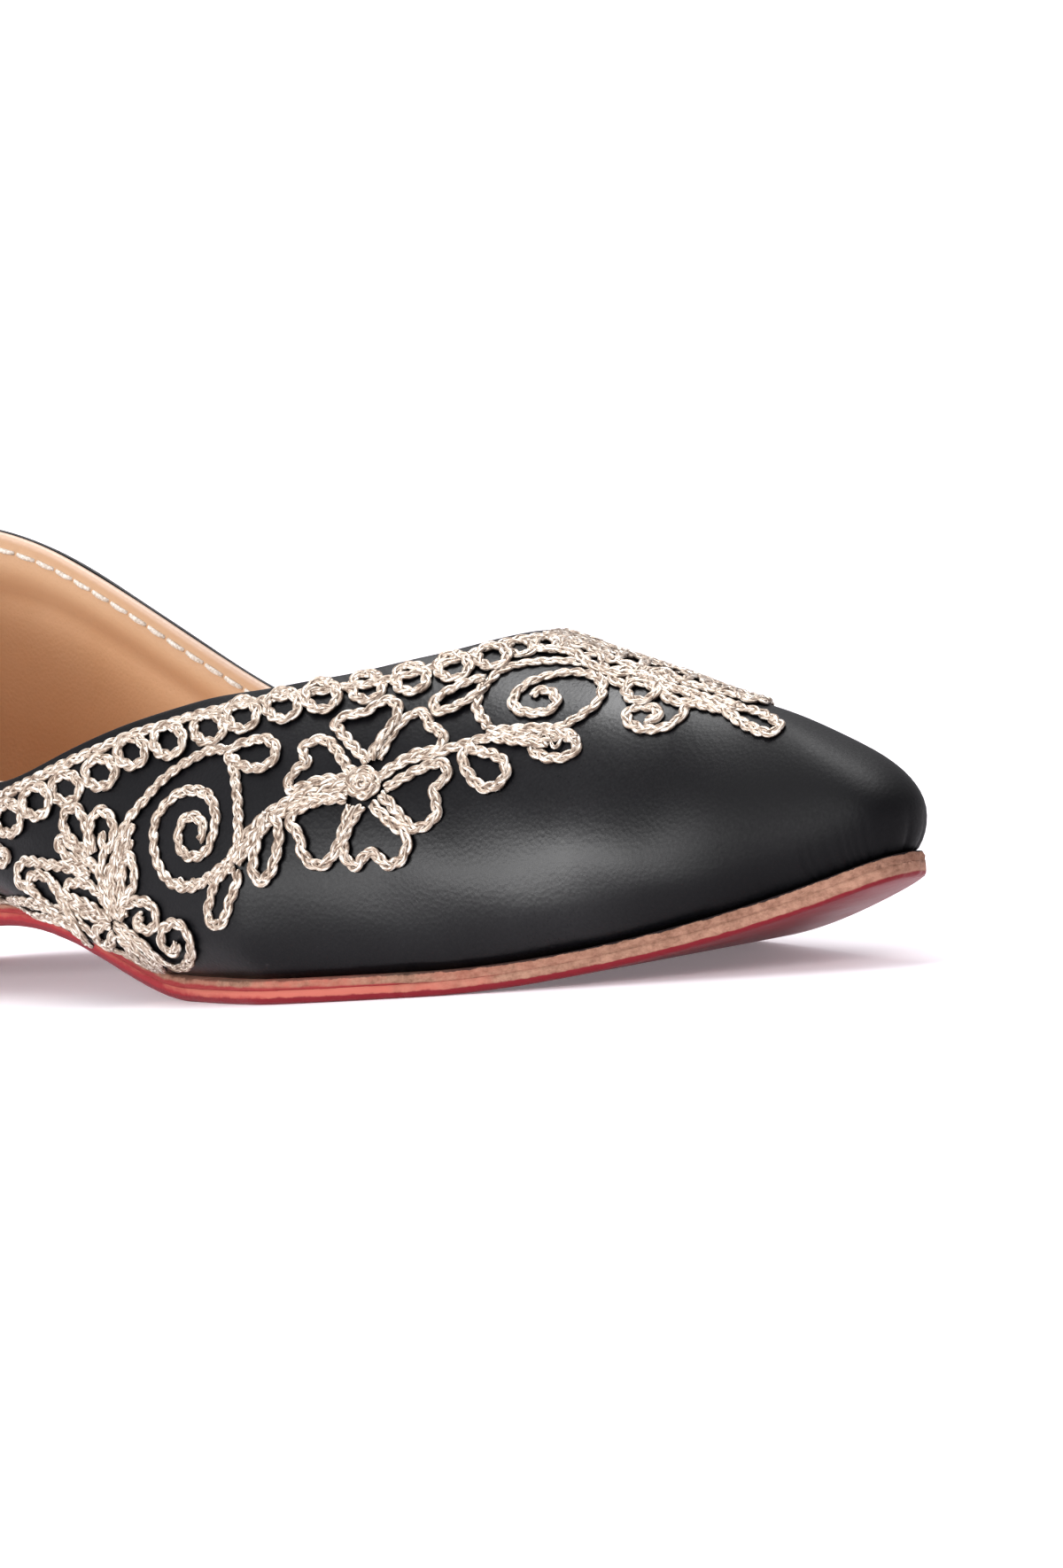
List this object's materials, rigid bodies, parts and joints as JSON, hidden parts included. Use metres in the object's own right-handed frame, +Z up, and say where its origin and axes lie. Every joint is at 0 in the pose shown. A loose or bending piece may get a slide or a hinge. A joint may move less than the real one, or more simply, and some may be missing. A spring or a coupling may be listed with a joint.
{
  "type": "mojari shoe",
  "caption": "Women's flat mojari slipper with a low-cut black leather upper, almond toe with toe spring, tan lining, and a thin leather sole on a low heel.",
  "frame": {"origin": "middle of the shoe's bounding box, on the floor it stands on", "axes": "+X towards the toe, +Y to the shoe's other side, +Z up; the shoe mirrors across the XZ plane"},
  "size_m": [0.2516, 0.0838, 0.0704],
  "materials": {
    "upper_leather": "smooth matte black leather",
    "lining_leather": "smooth tan lining leather with fine pores",
    "rand_leather": "raw tan leather edge",
    "sole_leather": "crimson painted sole leather, semi-gloss underneath",
    "heel_leather": "stacked sole leather with a painted edge",
    "metallic_cord": "champagne metallic twisted cord embroidery",
    "white_thread": "off-white sewing thread"
  },
  "bodies": {
    "root": {"upper": "upper_leather", "insole": "lining_leather", "rand": "rand_leather", "outsole": "sole_leather", "heel": "heel_leather"}
  },
  "joints": []
}
